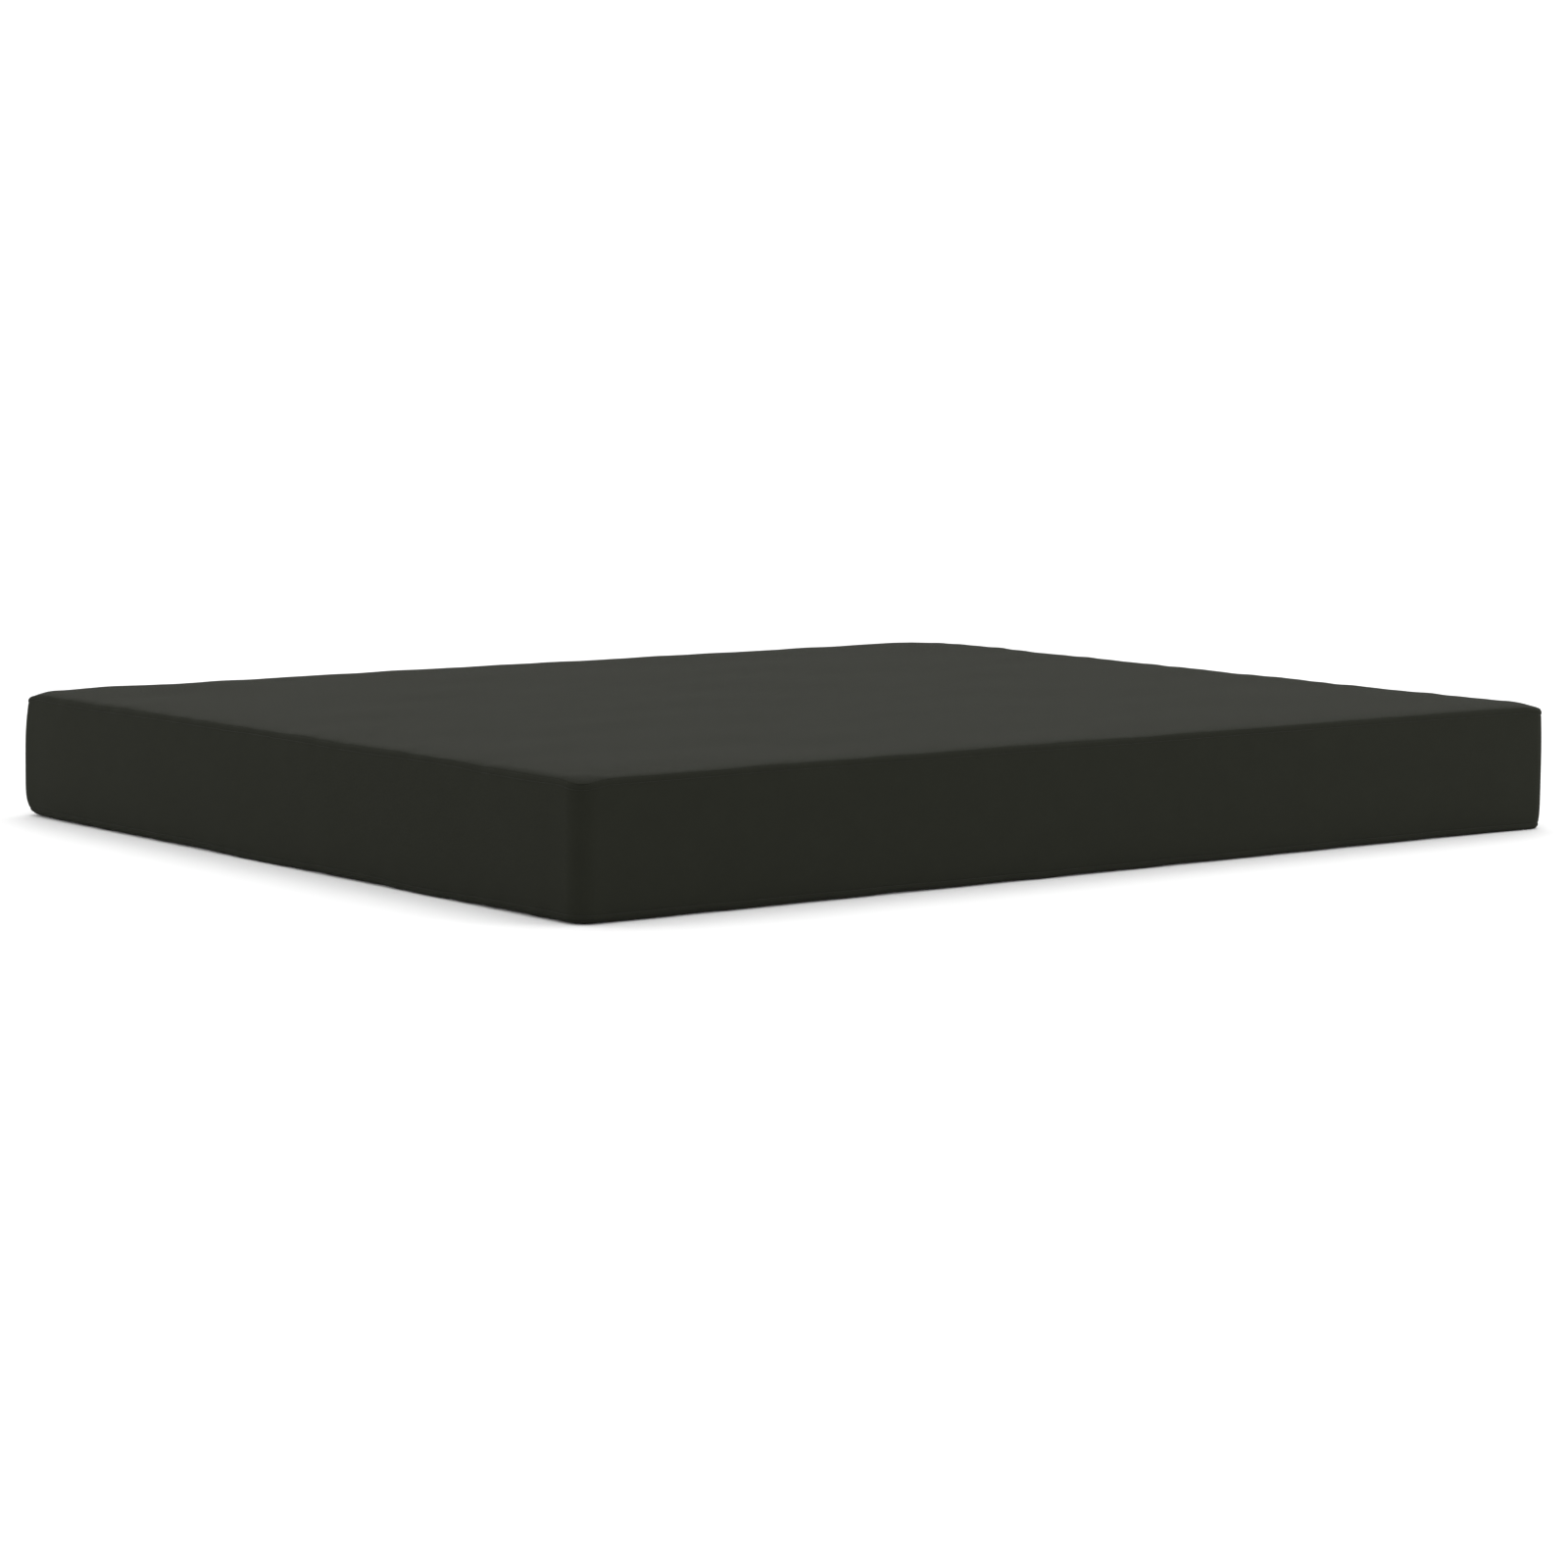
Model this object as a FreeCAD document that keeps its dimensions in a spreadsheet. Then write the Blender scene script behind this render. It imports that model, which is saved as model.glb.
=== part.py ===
import FreeCAD, Part
import os
import Sketcher

# A futon mattress in a zipped cover. It folds in half along its length, like the seat and
# the back of a futon sofa. Lengths are in millimetres. +Z is up, +X runs along the long
# side, +Y points to the rear, where the zip is, and the origin is the underside's centre.

SIZES = {
    # the whole mattress, lying flat
    "mattress_length": 2000,
    "mattress_depth": 1600,
    "corner_radius": 30,
    # the removable cover
    "cover_cloth": 0.8,
    "thread_thickness": 0.5,
    "topstitch_drop": 8,
    "cover_slack": 3.7,
    "washer_room": 2.5,
    # the muslin casing of the inner mattress, and the air between plies
    "casing_cloth": 0.4,
    "ply_gap": 0.3,
    # the filling, which parts at the crease
    "cotton_batt": 30,
    "fibre_batt": 20,
    "foam_slab": 50,
    "crease_gap": 1,
    # the tufts that hold the filling together
    "tuft_pitch_x": 340,
    "tuft_pitch_y": 400,
    "tuft_hole": 4,
    "twine_thickness": 3,
    "washer_diameter": 30,
    "washer_thickness": 1.9,
    # the zip in the rear boxing
    "zip_level": 104,
    "zip_slot": 12,
    "tape_length": 1812,
    "tape_width": 14,
    "tape_thickness": 0.6,
    "tape_recess": 0.2,
    "coil_length": 1800,
    "coil_width": 2.4,
    "coil_thickness": 2.2,
    "coil_gap": 1,
    "stop_length": 3,
    "end_tab_overlap": 8,
    "zip_stitch_inset": 3,
    # the slider and its pull tab
    "slider_length": 11,
    "slider_width": 8.4,
    "slider_plate": 1,
    "slider_clearance": 0.3,
    "post_length": 4,
    "post_width": 0.6,
    "flange_width": 0.9,
    "arch_length": 8.8,
    "arch_width": 2.4,
    "arch_bar": 0.9,
    "arch_opening": 2.6,
    "tab_length": 30,
    "tab_width": 7,
    "tab_thickness": 1.2,
    "tab_bar": 1.4,
    "tab_window_length": 5.6,
    "tab_window_width": 3.4,
    # the blank care label on the rear
    "label_width": 45,
    "label_height": 60,
    "label_thickness": 0.3,
    "label_offset": 700,
    "label_level": 25,
}
TUFT_COLUMNS = 6
TUFT_ROWS_PER_HALF = 2


class Size:
    """A length as its value in millimetres and as the sheet formula that gives it."""

    def __init__(self, value, formula):
        self.value = value
        self.formula = formula

    def _join(self, other, sign, value):
        return Size(value, f"({self.formula} {sign} {as_size(other).formula})")

    def __add__(self, other):
        return self._join(other, "+", self.value + as_size(other).value)

    def __sub__(self, other):
        return self._join(other, "-", self.value - as_size(other).value)

    def __mul__(self, other):
        return self._join(other, "*", self.value * as_size(other).value)

    def __truediv__(self, other):
        return self._join(other, "/", self.value / as_size(other).value)

    def __neg__(self):
        return Size(-self.value, f"(-1 * {self.formula})")


def as_size(number):
    """A plain number as a Size; a Size stays as it is."""
    if isinstance(number, Size):
        return number
    return Size(number, f"{number}")


def make_sizes():
    """Put the driving dimensions in a spreadsheet and return each as a Size."""
    sheet = doc.addObject("Spreadsheet::Sheet", "Sizes")
    for row, (alias, number) in enumerate(SIZES.items(), start=1):
        sheet.set(f"A{row}", alias)
        sheet.set(f"B{row}", str(number))
        sheet.setAlias(f"B{row}", alias)
    doc.recompute()
    return {alias: Size(number, f"Sizes.{alias}") for alias, number in SIZES.items()}


doc = FreeCAD.newDocument("FutonMattress")
size = make_sizes()
subparts = []

# Heights of the plies, counted up from the underside
underside = as_size(0)
half_length = size["mattress_length"] / 2
half_depth = size["mattress_depth"] / 2
skin_height = size["cover_cloth"] + size["washer_room"] + size["casing_cloth"] + size["ply_gap"]
filling_height = (size["cotton_batt"] + size["fibre_batt"] + size["foam_slab"]) * 2
mattress_height = skin_height * 2 + filling_height
top_panel_level = mattress_height - size["cover_cloth"]

# Insets from the outermost face of each side, which is the topstitching
thread_inset = as_size(0)
cloth_inset = size["thread_thickness"]
boxing_inner = cloth_inset + size["cover_cloth"]
casing_inset = boxing_inner + size["cover_slack"]
filling_inset = casing_inset + size["casing_cloth"] + size["ply_gap"]


# ---------------------------------------------------------------- document helpers
def keep(feature, label):
    """Name a finished sub-part, so that it is checked and written at the end."""
    feature.Label = label
    subparts.append(feature)
    return feature


def bind(feature, name, length):
    """Drive one property of a feature from the sheet."""
    feature.setExpression(name, as_size(length).formula)


def place(feature, x=None, y=None, z=None):
    """Drive a feature's position from the sheet, axis by axis."""
    for axis, length in (("x", x), ("y", y), ("z", z)):
        if length is not None:
            bind(feature, f"Placement.Base.{axis}", length)


def origin_plane(body, role):
    """One of the body's own origin planes."""
    return next(item for item in body.Origin.OriginFeatures if item.Role == role)


def add_sketch(body, name, role="XY_Plane"):
    """An empty sketch on one of the body's origin planes."""
    sketch = body.newObject("Sketcher::SketchObject", name)
    sketch.AttachmentSupport = [(origin_plane(body, role), "")]
    sketch.MapMode = "FlatFace"
    return sketch


def add_pad(body, sketch, length, name):
    """Pad a sketch along its plane's normal."""
    pad = body.newObject("PartDesign::Pad", name)
    pad.Profile = sketch
    bind(pad, "Length", length)
    sketch.Visibility = False
    return pad


def constrain(sketch, kind, *arguments):
    """Add a constraint whose last argument may be a Size that drives it."""
    driver = arguments[-1]
    if not isinstance(driver, Size):
        return sketch.addConstraint(Sketcher.Constraint(kind, *arguments))
    index = sketch.addConstraint(Sketcher.Constraint(kind, *arguments[:-1], driver.value))
    sketch.setExpression(f"Constraints[{index}]", driver.formula)
    return index


def add_rectangle(sketch, left, right, low, high, radii=(None, None, None, None)):
    """A rectangle with optional round corners: low left, low right, high right, high left."""
    rounds = [0 if radius is None else radius.value for radius in radii]
    x0, x1, y0, y1 = (as_size(edge).value for edge in (left, right, low, high))
    ends = [
        ((x0 + rounds[0], y0), (x1 - rounds[1], y0)),
        ((x1, y0 + rounds[1]), (x1, y1 - rounds[2])),
        ((x1 - rounds[2], y1), (x0 + rounds[3], y1)),
        ((x0, y1 - rounds[3]), (x0, y0 + rounds[0])),
    ]
    lines = []
    for start, end in ends:
        segment = Part.LineSegment(FreeCAD.Vector(*start, 0), FreeCAD.Vector(*end, 0))
        lines.append(sketch.addGeometry(segment))
    for number, edge in enumerate((low, right, high, left)):
        flat = number % 2 == 0
        constrain(sketch, "Horizontal" if flat else "Vertical", lines[number])
        constrain(sketch, "DistanceY" if flat else "DistanceX", lines[number], 1, as_size(edge))
    for number, radius in enumerate(radii):
        before, after = lines[number - 1], lines[number]
        if radius is None:
            constrain(sketch, "Coincident", before, 2, after, 1)
            continue
        corner = add_corner(sketch, ends[number - 1][1], ends[number][0], number, radius)
        constrain(sketch, "Tangent", before, 2, corner, 1)
        constrain(sketch, "Tangent", corner, 2, after, 1)
        constrain(sketch, "Radius", corner, radius)


def add_corner(sketch, start, end, number, radius):
    """The quarter arc at one corner of a rectangle, from start round to end."""
    centre_x = end[0] if number % 2 == 0 else start[0]
    centre_y = start[1] if number % 2 == 0 else end[1]
    circle = Part.Circle(FreeCAD.Vector(centre_x, centre_y, 0), FreeCAD.Vector(0, 0, 1), radius.value)
    first = circle.parameter(FreeCAD.Vector(*start, 0))
    last = circle.parameter(FreeCAD.Vector(*end, 0))
    return sketch.addGeometry(Part.ArcOfCircle(circle, first, last))


def add_circle(sketch, x, y, diameter):
    """A circle about a driven centre."""
    centre = FreeCAD.Vector(x.value, y.value, 0)
    circle = Part.Circle(centre, FreeCAD.Vector(0, 0, 1), diameter.value / 2)
    index = sketch.addGeometry(circle)
    constrain(sketch, "DistanceX", index, 3, x)
    constrain(sketch, "DistanceY", index, 3, y)
    constrain(sketch, "Diameter", index, diameter)


def add_box(name, x, y, z, length, width, height):
    """A plain box from its lowest corner and its extents along X, Y and Z."""
    box = doc.addObject("Part::Box", name)
    bind(box, "Length", length)
    bind(box, "Width", width)
    bind(box, "Height", height)
    place(box, x, y, z)
    return box


# ---------------------------------------------------------------- shapes the plies share
def round_outline(sketch, inset):
    """The mattress's outline in plan, drawn in by the inset."""
    radius = size["corner_radius"] - inset
    reach_x, reach_y = half_length - inset, half_depth - inset
    add_rectangle(sketch, -reach_x, reach_x, -reach_y, reach_y, (radius,) * 4)


def half_outline(sketch, inset, side):
    """One half of the outline: side is -1 for the seat and 1 for the back."""
    radius = size["corner_radius"] - inset
    reach_x = half_length - inset
    crease, outer = size["crease_gap"] / 2, half_depth - inset
    if side < 0:
        add_rectangle(sketch, -reach_x, reach_x, -outer, -crease, (radius, radius, None, None))
    else:
        add_rectangle(sketch, -reach_x, reach_x, crease, outer, (None, None, radius, radius))


def tuft_centres(side):
    """Where the tufts of one half go through it."""
    for column in range(TUFT_COLUMNS):
        x = size["tuft_pitch_x"] * (column - (TUFT_COLUMNS - 1) / 2)
        for row in range(TUFT_ROWS_PER_HALF):
            yield x, size["tuft_pitch_y"] * (side * (row + 0.5))


def tuft_holes(sketch, sides):
    """A hole for the twine at each tuft."""
    for side in sides:
        for x, y in tuft_centres(side):
            add_circle(sketch, x, y, size["tuft_hole"])


def make_cloth_panel(label, inset, level, thickness, tufted):
    """A flat panel with the mattress's outline, pierced at the tufts if it is tufted."""
    body = doc.addObject("PartDesign::Body", label)
    sketch = add_sketch(body, f"{label}_outline")
    round_outline(sketch, inset)
    if tufted:
        tuft_holes(sketch, (-1, 1))
    add_pad(body, sketch, thickness, f"{label}_pad")
    place(body, z=level)
    return keep(body, label)


def make_ring(label, inset, thickness, level, height):
    """A band of one thickness all round the mattress."""
    body = doc.addObject("PartDesign::Body", label)
    sketch = add_sketch(body, f"{label}_outline")
    round_outline(sketch, inset)
    round_outline(sketch, inset + thickness)
    add_pad(body, sketch, height, f"{label}_pad")
    place(body, z=level)
    return keep(body, label)


# ---------------------------------------------------------------- the cover
def make_boxing_band():
    """The front and side boxing: one strip that turns all four corners, open at the rear."""
    band_height = top_panel_level - size["cover_cloth"]
    band = make_ring("cover_boxing_band", cloth_inset, size["cover_cloth"], size["cover_cloth"], band_height)
    doc.recompute()
    closed_volume = band.Shape.Volume
    sketch = add_sketch(band, "rear_opening_outline")
    reach = half_length - size["corner_radius"]
    add_rectangle(sketch, -reach, reach, half_depth - size["corner_radius"], half_depth)
    opening = band.newObject("PartDesign::Pocket", "rear_opening")
    opening.Profile = sketch
    opening.Type = "ThroughAll"
    opening.Reversed = True
    doc.recompute()
    if band.Shape.Volume > 0.9 * closed_volume:
        raise RuntimeError("the rear opening did not cut the boxing band")


def make_rear_strips():
    """The rear boxing: a strip above the zip and one below it."""
    length = size["mattress_length"] - size["corner_radius"] * 2
    face = half_depth - boxing_inner
    slot_low = size["zip_level"] - size["zip_slot"] / 2
    slot_high = size["zip_level"] + size["zip_slot"] / 2
    levels = {
        "cover_rear_strip_lower": (size["cover_cloth"], slot_low),
        "cover_rear_strip_upper": (slot_high, top_panel_level),
    }
    for label, (low, high) in levels.items():
        strip = add_box(label, -length / 2, face, low, length, size["cover_cloth"], high - low)
        keep(strip, label)


def make_topstitching():
    """A row of thread round the boxing, just inside each of its two long seams."""
    thread = size["thread_thickness"]
    rows = {
        "cover_topstitch_lower": size["topstitch_drop"],
        "cover_topstitch_upper": mattress_height - size["topstitch_drop"] - thread,
    }
    for label, level in rows.items():
        make_ring(label, thread_inset, thread, level, thread)


def make_cover():
    """The removable cover without its zip."""
    cloth = size["cover_cloth"]
    make_cloth_panel("cover_bottom_panel", cloth_inset, underside, cloth, False)
    make_cloth_panel("cover_top_panel", cloth_inset, top_panel_level, cloth, False)
    make_boxing_band()
    make_rear_strips()
    make_topstitching()


# ---------------------------------------------------------------- the zip
tape_face = half_depth - boxing_inner - size["tape_recess"]
tape_back = tape_face - size["tape_thickness"]
coil_face = tape_face + size["coil_thickness"]
outer_plate = coil_face + size["slider_clearance"]
bridge_foot = outer_plate + size["slider_plate"]
pull_axis_y = bridge_foot + size["arch_opening"] / 2
slider_rest_x = size["coil_length"] / 2 - size["slider_length"] / 2 - size["slider_clearance"]


def above_and_below(low, high):
    """The two mirrored spans of heights about the zip's centre line."""
    return {
        "upper": size["zip_level"] + low,
        "lower": size["zip_level"] - high,
    }


def make_tapes_and_coils():
    """Each tape with its coil, and the thread that sews it to its strip."""
    inner = size["coil_gap"] / 2
    tape_reach, coil_reach = inner + size["tape_width"], inner + size["coil_width"]
    tape_start, coil_start = -size["tape_length"] / 2, -size["coil_length"] / 2
    for side, level in above_and_below(inner, tape_reach).items():
        label = f"zip_tape_{side}"
        tape = add_box(
            label, tape_start, tape_back, level,
            size["tape_length"], size["tape_thickness"], size["tape_width"],
        )
        keep(tape, label)
    for side, level in above_and_below(inner, coil_reach).items():
        make_coil(f"zip_coil_{side}", coil_start, level)
    stitch_low = size["zip_slot"] / 2 + size["zip_stitch_inset"]
    thread = size["thread_thickness"]
    for side, level in above_and_below(stitch_low, stitch_low + thread).items():
        label = f"zip_stitch_{side}"
        stitch = add_box(
            label, tape_start, half_depth - thread, level,
            size["tape_length"], thread, thread,
        )
        keep(stitch, label)


def make_coil(label, start, level):
    """A coil as a bar with its two outer long edges rounded."""
    body = doc.addObject("PartDesign::Body", label)
    sketch = add_sketch(body, f"{label}_outline", "YZ_Plane")
    radius = size["coil_width"] / 4
    across, tall = size["coil_thickness"], size["coil_width"]
    add_rectangle(sketch, 0, across, 0, tall, (None, radius, radius, None))
    add_pad(body, sketch, size["coil_length"], f"{label}_pad")
    place(body, start, tape_face, level)
    keep(body, label)


def make_stops():
    """The pair of stops at the closed end, and the one across both coils at the open end."""
    inner = size["coil_gap"] / 2
    depth = size["coil_thickness"]
    closed_end, open_end = size["coil_length"] / 2, -size["coil_length"] / 2 - size["stop_length"]
    pair = []
    for side, level in above_and_below(inner, inner + size["coil_width"]).items():
        stop = add_box(
            f"top_stop_{side}", closed_end, tape_face, level,
            size["stop_length"], depth, size["coil_width"],
        )
        pair.append(stop)
    stops = doc.addObject("Part::Compound", "zip_top_stops")
    stops.Links = pair
    keep(stops, "zip_top_stops")
    reach = inner + size["coil_width"]
    bottom = add_box(
        "zip_bottom_stop", open_end, tape_face, size["zip_level"] - reach,
        size["stop_length"], depth, reach * 2,
    )
    keep(bottom, "zip_bottom_stop")


def make_end_tabs():
    """The cloth tabs that close the slot beyond each end of the tapes."""
    width = size["zip_slot"] + size["end_tab_overlap"] * 2
    strip_reach = half_length - size["corner_radius"]
    tape_reach = size["tape_length"] / 2
    length = strip_reach - tape_reach
    level = size["zip_level"] - width / 2
    starts = {"zip_end_tab_left": -strip_reach, "zip_end_tab_right": tape_reach}
    for label, start in starts.items():
        tab = add_box(label, start, tape_back, level, length, size["tape_thickness"], width)
        keep(tab, label)


def make_slider():
    """Two plates joined by a post between the coils, flanges over the tapes, and an arch."""
    length, width, plate = size["slider_length"], size["slider_width"], size["slider_plate"]
    clear, zip_level = size["slider_clearance"], size["zip_level"]
    left, low = slider_rest_x - length / 2, zip_level - width / 2
    inner_face = tape_back - clear
    flange_tip = tape_face + clear
    arch_left = slider_rest_x - size["arch_length"] / 2
    arch_low = zip_level - size["arch_width"] / 2
    arch_rise = size["arch_opening"] + size["arch_bar"]
    pieces = [
        add_box("outer_plate", left, outer_plate, low, length, plate, width),
        add_box("inner_plate", left, inner_face - plate, low, length, plate, width),
        add_box(
            "slider_post", slider_rest_x - size["post_length"] / 2, inner_face,
            zip_level - size["post_width"] / 2,
            size["post_length"], outer_plate - inner_face, size["post_width"],
        ),
    ]
    for name, level in {"lower": low, "upper": low + width - size["flange_width"]}.items():
        pieces.append(add_box(
            f"slider_flange_{name}", left, flange_tip, level,
            length, outer_plate - flange_tip, size["flange_width"],
        ))
    block = add_box(
        "arch_block", arch_left, bridge_foot, arch_low,
        size["arch_length"], arch_rise, size["arch_width"],
    )
    window = add_box(
        "arch_window", arch_left + size["arch_bar"], bridge_foot, arch_low,
        size["arch_length"] - size["arch_bar"] * 2, size["arch_opening"], size["arch_width"],
    )
    arch = doc.addObject("Part::Cut", "slider_arch")
    arch.Base = block
    arch.Tool = window
    slider = doc.addObject("Part::MultiFuse", "zip_slider")
    slider.Shapes = pieces + [arch]
    keep(slider, "zip_slider")


def make_pull_tab():
    """A flat tab whose end bar turns under the slider's arch, lying towards +X at rest."""
    body = doc.addObject("PartDesign::Body", "zip_pull_tab")
    sketch = add_sketch(body, "tab_outline", "XZ_Plane")
    half_width, bar = size["tab_width"] / 2, size["tab_bar"]
    window_start = bar / 2
    window_end = window_start + size["tab_window_length"]
    window_reach = size["tab_window_width"] / 2
    end_round = size["tab_width"] / 2 - size["tab_thickness"]
    neck_round = size["tab_thickness"]
    add_rectangle(
        sketch, -bar / 2, size["tab_length"], -half_width, half_width,
        (neck_round, end_round, end_round, neck_round),
    )
    add_rectangle(sketch, window_start, window_end, -window_reach, window_reach)
    add_pad(body, sketch, size["tab_thickness"], "tab_pad")
    place(body, slider_rest_x, pull_axis_y + size["tab_thickness"] / 2, size["zip_level"])
    keep(body, "zip_pull_tab")


def make_zip():
    """The whole zip."""
    make_tapes_and_coils()
    make_stops()
    make_end_tabs()
    make_slider()
    make_pull_tab()


def make_care_label():
    """A blank cloth label on the lower rear strip."""
    face = half_depth - cloth_inset + size["ply_gap"]
    start = -size["label_offset"] - size["label_width"] / 2
    label = add_box(
        "care_label", start, face, size["label_level"],
        size["label_width"], size["label_thickness"], size["label_height"],
    )
    keep(label, "care_label")


# ---------------------------------------------------------------- the inner mattress
def make_casing():
    """The muslin casing that holds the filling."""
    cloth = size["casing_cloth"]
    low = size["cover_cloth"] + size["washer_room"]
    high = mattress_height - low - cloth
    make_cloth_panel("casing_bottom", casing_inset, low, cloth, True)
    make_cloth_panel("casing_top", casing_inset, high, cloth, True)
    make_ring("casing_band", casing_inset, cloth, low + cloth, high - low - cloth)


def make_filling():
    """Six layers from the bottom up, each in a seat half and a back half."""
    layers = [
        ("cotton_batt_lower", size["cotton_batt"]),
        ("fibre_batt_lower", size["fibre_batt"]),
        ("foam_slab_lower", size["foam_slab"]),
        ("foam_slab_upper", size["foam_slab"]),
        ("fibre_batt_upper", size["fibre_batt"]),
        ("cotton_batt_upper", size["cotton_batt"]),
    ]
    for half, side in (("seat", -1), ("back", 1)):
        level = skin_height
        for name, thickness in layers:
            make_layer(f"{half}_{name}", side, level, thickness)
            level = level + thickness


def make_layer(label, side, level, thickness):
    """One layer of one half, pierced at its tufts."""
    body = doc.addObject("PartDesign::Body", label)
    sketch = add_sketch(body, f"{label}_outline")
    half_outline(sketch, filling_inset, side)
    tuft_holes(sketch, (side,))
    add_pad(body, sketch, thickness, f"{label}_pad")
    place(body, z=level)
    keep(body, label)


def make_tufts():
    """Twine through the filling, held by a felt washer outside the casing at each end."""
    casing_low = size["cover_cloth"] + size["washer_room"]
    washer_levels = {
        "lower": casing_low - size["ply_gap"] - size["washer_thickness"],
        "upper": mattress_height - casing_low + size["ply_gap"],
    }
    for half, side in (("seat", -1), ("back", 1)):
        for end, level in washer_levels.items():
            make_tuft_group(
                f"{half}_tuft_washers_{end}", side, level, size["washer_thickness"],
                (size["washer_diameter"], size["tuft_hole"]),
            )
        low = washer_levels["lower"]
        height = mattress_height - low * 2
        make_tuft_group(f"{half}_tuft_twine", side, low, height, (size["twine_thickness"],))


def make_tuft_group(label, side, level, height, diameters):
    """The same round piece at every tuft of one half."""
    body = doc.addObject("PartDesign::Body", label)
    body.AllowCompound = True
    sketch = add_sketch(body, f"{label}_outline")
    for x, y in tuft_centres(side):
        for diameter in diameters:
            add_circle(sketch, x, y, diameter)
    add_pad(body, sketch, height, f"{label}_pad")
    place(body, z=level)
    keep(body, label)


# ---------------------------------------------------------------- build, check and write
def check_document():
    """Stop if any object failed, or any sub-part is empty or invalid."""
    for item in doc.Objects:
        if {"Invalid", "Error"} & set(item.State):
            raise RuntimeError(f"{item.Label} failed: {item.State}")
    for item in subparts:
        if item.Shape.isNull() or not item.Shape.isValid() or item.Shape.Volume <= 0:
            raise RuntimeError(f"{item.Label} has no valid shape")


def write_subparts():
    """Write each sub-part to its own STEP file."""
    os.makedirs("parts", exist_ok=True)
    for item in subparts:
        item.Shape.exportStep(f"parts/{item.Label}.step")


make_cover()
make_zip()
make_care_label()
make_casing()
make_filling()
make_tufts()
doc.recompute()
check_document()
write_subparts()
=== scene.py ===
import math
import bpy
import numpy as np
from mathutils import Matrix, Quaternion, Vector


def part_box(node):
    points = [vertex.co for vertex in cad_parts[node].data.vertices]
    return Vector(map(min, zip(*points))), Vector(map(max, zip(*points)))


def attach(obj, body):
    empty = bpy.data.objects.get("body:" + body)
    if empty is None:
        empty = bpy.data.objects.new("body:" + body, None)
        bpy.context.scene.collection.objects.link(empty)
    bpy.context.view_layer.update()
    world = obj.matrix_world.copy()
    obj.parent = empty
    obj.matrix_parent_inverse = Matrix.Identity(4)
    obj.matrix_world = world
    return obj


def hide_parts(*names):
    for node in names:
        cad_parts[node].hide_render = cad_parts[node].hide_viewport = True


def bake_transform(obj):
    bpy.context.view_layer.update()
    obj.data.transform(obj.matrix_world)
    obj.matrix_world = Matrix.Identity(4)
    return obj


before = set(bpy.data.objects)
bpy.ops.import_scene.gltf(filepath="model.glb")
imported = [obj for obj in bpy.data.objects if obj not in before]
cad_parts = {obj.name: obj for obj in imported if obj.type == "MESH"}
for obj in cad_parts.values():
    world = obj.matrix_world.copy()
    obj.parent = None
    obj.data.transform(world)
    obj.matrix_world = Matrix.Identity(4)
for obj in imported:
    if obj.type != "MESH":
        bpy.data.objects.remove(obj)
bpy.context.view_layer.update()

# A futon mattress in a zipped cover. Every soft piece starts as points on the flat box that
# the design gives it, and the same softening then rounds, crowns and ripples them all, so
# that the plies stay nested. Metres throughout.

MM = 0.001
TOUCHING = 0.001 * MM
band_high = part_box("cover_boxing_band")[1]
upper_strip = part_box("cover_rear_strip_upper")
lower_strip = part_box("cover_rear_strip_lower")
HALF_X = band_high.x
HALF_Y = band_high.y
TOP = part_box("cover_top_panel")[1].z
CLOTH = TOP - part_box("cover_top_panel")[0].z
REAR_REACH = upper_strip[1].x
CORNER_RADIUS = HALF_X - REAR_REACH
SLOT_LOW = lower_strip[1].z
SLOT_HIGH = upper_strip[0].z
ZIP_LEVEL = (SLOT_LOW + SLOT_HIGH) / 2


def middle(node):
    """The centre of a CAD node's box."""
    low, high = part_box(node)
    return (low + high) / 2


def at(values, level):
    """Which values lie at a level."""
    return np.abs(values - level) < TOUCHING


STITCH_LEVELS = {name: middle(name).z for name in (
    "cover_topstitch_lower", "cover_topstitch_upper", "zip_stitch_lower", "zip_stitch_upper",
)}

# The crease: cloth and filling turn smoothly within this distance of it
CREASE_REACH = 60 * MM

# The seams draw in from the widest level, and the panels roll to them
SEAM_INSET_TOP = 4 * MM
SEAM_INSET_BOTTOM = 6.5 * MM
SEAM_DROP_TOP = 3 * MM
SEAM_RISE_BOTTOM = 4.5 * MM
SEAM_WANDER = 0.4
WANDER_LENGTHS = (0.93, 0.57, 0.39)
WIDEST_LEVEL = 75 * MM
LEAN_POWER = 3
ROLL_POWER = 5
EDGE_POWER = 4

# The top droops at its corners, which filling never quite reaches, and is crowned between them
CORNER_DROOP = 6.5 * MM
DROOP_REACH = 60 * MM
CORNER_SLACK = 0.5
SLACK_REACH = 160 * MM
CROWN = 1 * MM
CROWN_POWER = 4

# Nothing rises or falls between these levels, so the zip stays straight
STILL_LOW = 88 * MM
STILL_HIGH = 120 * MM

# Grid lines on the panels and the band, as distances in from a seam, then an even step
PANEL_ROWS = np.array([0, 1, 2.5, 4.5, 7, 10, 14, 19, 25, 32, 39, 45, 48.2]) * MM
BAND_ROWS = np.array([0, 1.2, 2.8, 4.8, 6.6, 8.25, 9.9, 12, 15.5, 20, 26, 33]) * MM
FINE_STEP = 9 * MM
CREASE_STEP = 6 * MM

# Ripples are crossing waves, which also shift a little with height
WAVE_LEAN = 0.35
RANDOM_SEED = 7


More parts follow.
